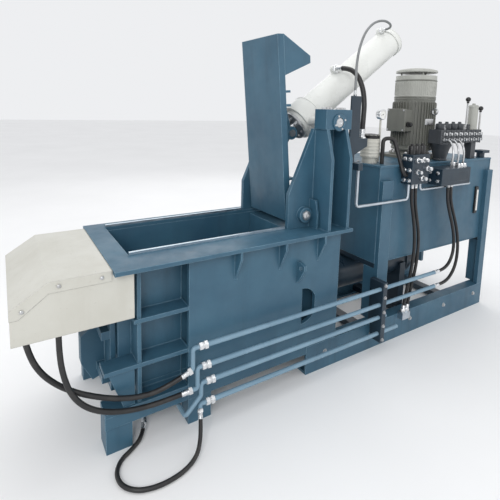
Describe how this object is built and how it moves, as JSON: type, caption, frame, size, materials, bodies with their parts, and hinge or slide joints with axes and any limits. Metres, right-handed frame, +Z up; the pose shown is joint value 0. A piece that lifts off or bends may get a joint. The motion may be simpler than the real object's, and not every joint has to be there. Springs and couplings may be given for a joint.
{
  "type": "recycling baler",
  "caption": "Horizontal hydraulic scrap baler: open-topped press box with a tilting lid and lid cylinder on columns, main ram, hooded end gate, oil tank with motor and valves, pipes and hoses.",
  "frame": {"origin": "on the floor under the middle of the machine's bounding box, hoses left out", "axes": "+X along the machine from the hooded end to the tank, +Y from the valve side to the back, +Z up"},
  "size_m": [3.434, 1.017, 2.2181],
  "materials": {
    "blue_paint": "blue-grey machine paint with light scuffs",
    "cream_paint": "warm off-white paint",
    "dark_paint": "dark blue-grey paint",
    "motor_paint": "grey-green enamel",
    "steel": "worn steel",
    "rod_chrome": "ground chromed rod",
    "zinc": "zinc plated tube",
    "cast": "dark cast housing",
    "hose_rubber": "black hydraulic hose",
    "hose_braid": "grey braided hose",
    "black_plastic": "black moulded plastic"
  },
  "bodies": {
    "frame": {"chamber_front_wall": "blue_paint", "chamber_rear_wall": "blue_paint", "chamber_floor": "blue_paint", "front_skin_plate": "blue_paint", "rear_skin_plate": "blue_paint", "end_ribs_front": "blue_paint", "end_ribs_rear": "blue_paint", "end_frame": "blue_paint", "rim_frame": "blue_paint", "rim_gussets": "blue_paint", "column_front": "blue_paint", "column_rear": "blue_paint", "bearing_block_front": "blue_paint", "bearing_block_rear": "blue_paint", "hood_shell": "cream_paint", "hood_cover": "cream_paint", "hood_hose_bar": "steel", "gate_bracket": "dark_paint", "cylinder_yoke": "blue_paint", "main_cylinder": "dark_paint", "cross_members": "blue_paint", "base_rail_front": "dark_paint", "base_rail_rear": "dark_paint", "posts_front": "blue_paint", "posts_rear": "blue_paint", "oil_tank": "blue_paint", "motor_body": "motor_paint", "motor_cowl": "motor_paint", "valve_bank": "cast", "tank_fittings": "cast", "filter_and_gauge": "cream_paint", "line_pipes": "zinc", "pipe_clamp": "dark_paint", "steel_tubes": "zinc", "hose_bracket": "dark_paint", "hose_fittings": "zinc", "gate_hose_upper": "hose_rubber", "gate_hose_lower": "hose_rubber", "floor_hose": "hose_rubber", "lid_hose_thick": "hose_rubber", "lid_hose_thin": "hose_braid", "drop_hose_1": "hose_rubber", "drop_hose_2": "hose_rubber", "drop_hose_3": "hose_rubber", "drop_hose_4": "hose_rubber"},
    "lid": {"lid_slab": "blue_paint", "lid_nose": "blue_paint", "lid_ribs": "blue_paint", "lid_pins": "steel"},
    "lid_barrel": {"lid_cylinder_barrel": "cream_paint"},
    "lid_rod": {"lid_cylinder_rod": "rod_chrome"},
    "gate": {"end_gate": "blue_paint", "gate_crank": "dark_paint"},
    "gate_barrel": {"gate_cylinder_barrel": "dark_paint"},
    "gate_rod": {"gate_cylinder_rod": "rod_chrome"},
    "ram": {"ram_platen": "blue_paint", "main_rod": "rod_chrome"},
    "rotor": {"motor_rotor": "steel"},
    "lever_1": {"valve_lever_1": "black_plastic"},
    "lever_2": {"valve_lever_2": "black_plastic"}
  },
  "joints": [
    {"name": "lid_hinge", "type": "hinge", "parent": "frame", "child": "lid", "pos_m": [-0.193, 0.05, 0.98], "axis": [0, -1, 0], "range_deg": [0, 84.5]},
    {"name": "lid_cylinder_swing", "type": "hinge", "parent": "frame", "child": "lid_barrel", "pos_m": [-0.033, 0.05, 1.53], "axis": [0, -1, 0], "range_deg": [0, 0.3802]},
    {"name": "lid_cylinder_stroke", "type": "slide", "parent": "lid_barrel", "child": "lid_rod", "axis": [-0.8119, 0, -0.5838], "range_m": [0, 0.6369]},
    {"name": "gate_hinge", "type": "hinge", "parent": "frame", "child": "gate", "pos_m": [-1.308, 0, 0.655], "axis": [0, 1, 0], "range_deg": [0, 75]},
    {"name": "gate_cylinder_swing", "type": "hinge", "parent": "frame", "child": "gate_barrel", "pos_m": [-1.663, -0.112, 0.735], "axis": [0, 1, 0], "range_deg": [-7.06, 0]},
    {"name": "gate_cylinder_stroke", "type": "slide", "parent": "gate_barrel", "child": "gate_rod", "axis": [0.998, 0, -0.0637], "range_m": [0, 0.12788]},
    {"name": "ram_stroke", "type": "slide", "parent": "frame", "child": "ram", "axis": [-1, 0, 0], "range_m": [0, 0.67]},
    {"name": "motor_shaft", "type": "hinge", "parent": "frame", "child": "rotor", "pos_m": [1.077, 0.002, 1.5], "axis": [0, 0, 1], "continuous": true},
    {"name": "valve_lever_1_pivot", "type": "hinge", "parent": "frame", "child": "lever_1", "pos_m": [1.417, -0.232, 1.501], "axis": [0, 1, 0], "range_deg": [-12, 12], "stiffness_Nm_per_rad": 3},
    {"name": "valve_lever_2_pivot", "type": "hinge", "parent": "frame", "child": "lever_2", "pos_m": [1.607, -0.232, 1.435], "axis": [0, 1, 0], "range_deg": [-12, 12], "stiffness_Nm_per_rad": 3}
  ],
  "couplings": [
    {"joint": "lid_cylinder_swing", "follows": "lid_hinge", "ratio": 0.0044994},
    {"joint": "lid_cylinder_stroke", "follows": "lid_hinge", "m_per_rad": 0.43185},
    {"joint": "gate_cylinder_swing", "follows": "gate_hinge", "ratio": -0.094103},
    {"joint": "gate_cylinder_stroke", "follows": "gate_hinge", "m_per_rad": 0.097697}
  ]
}
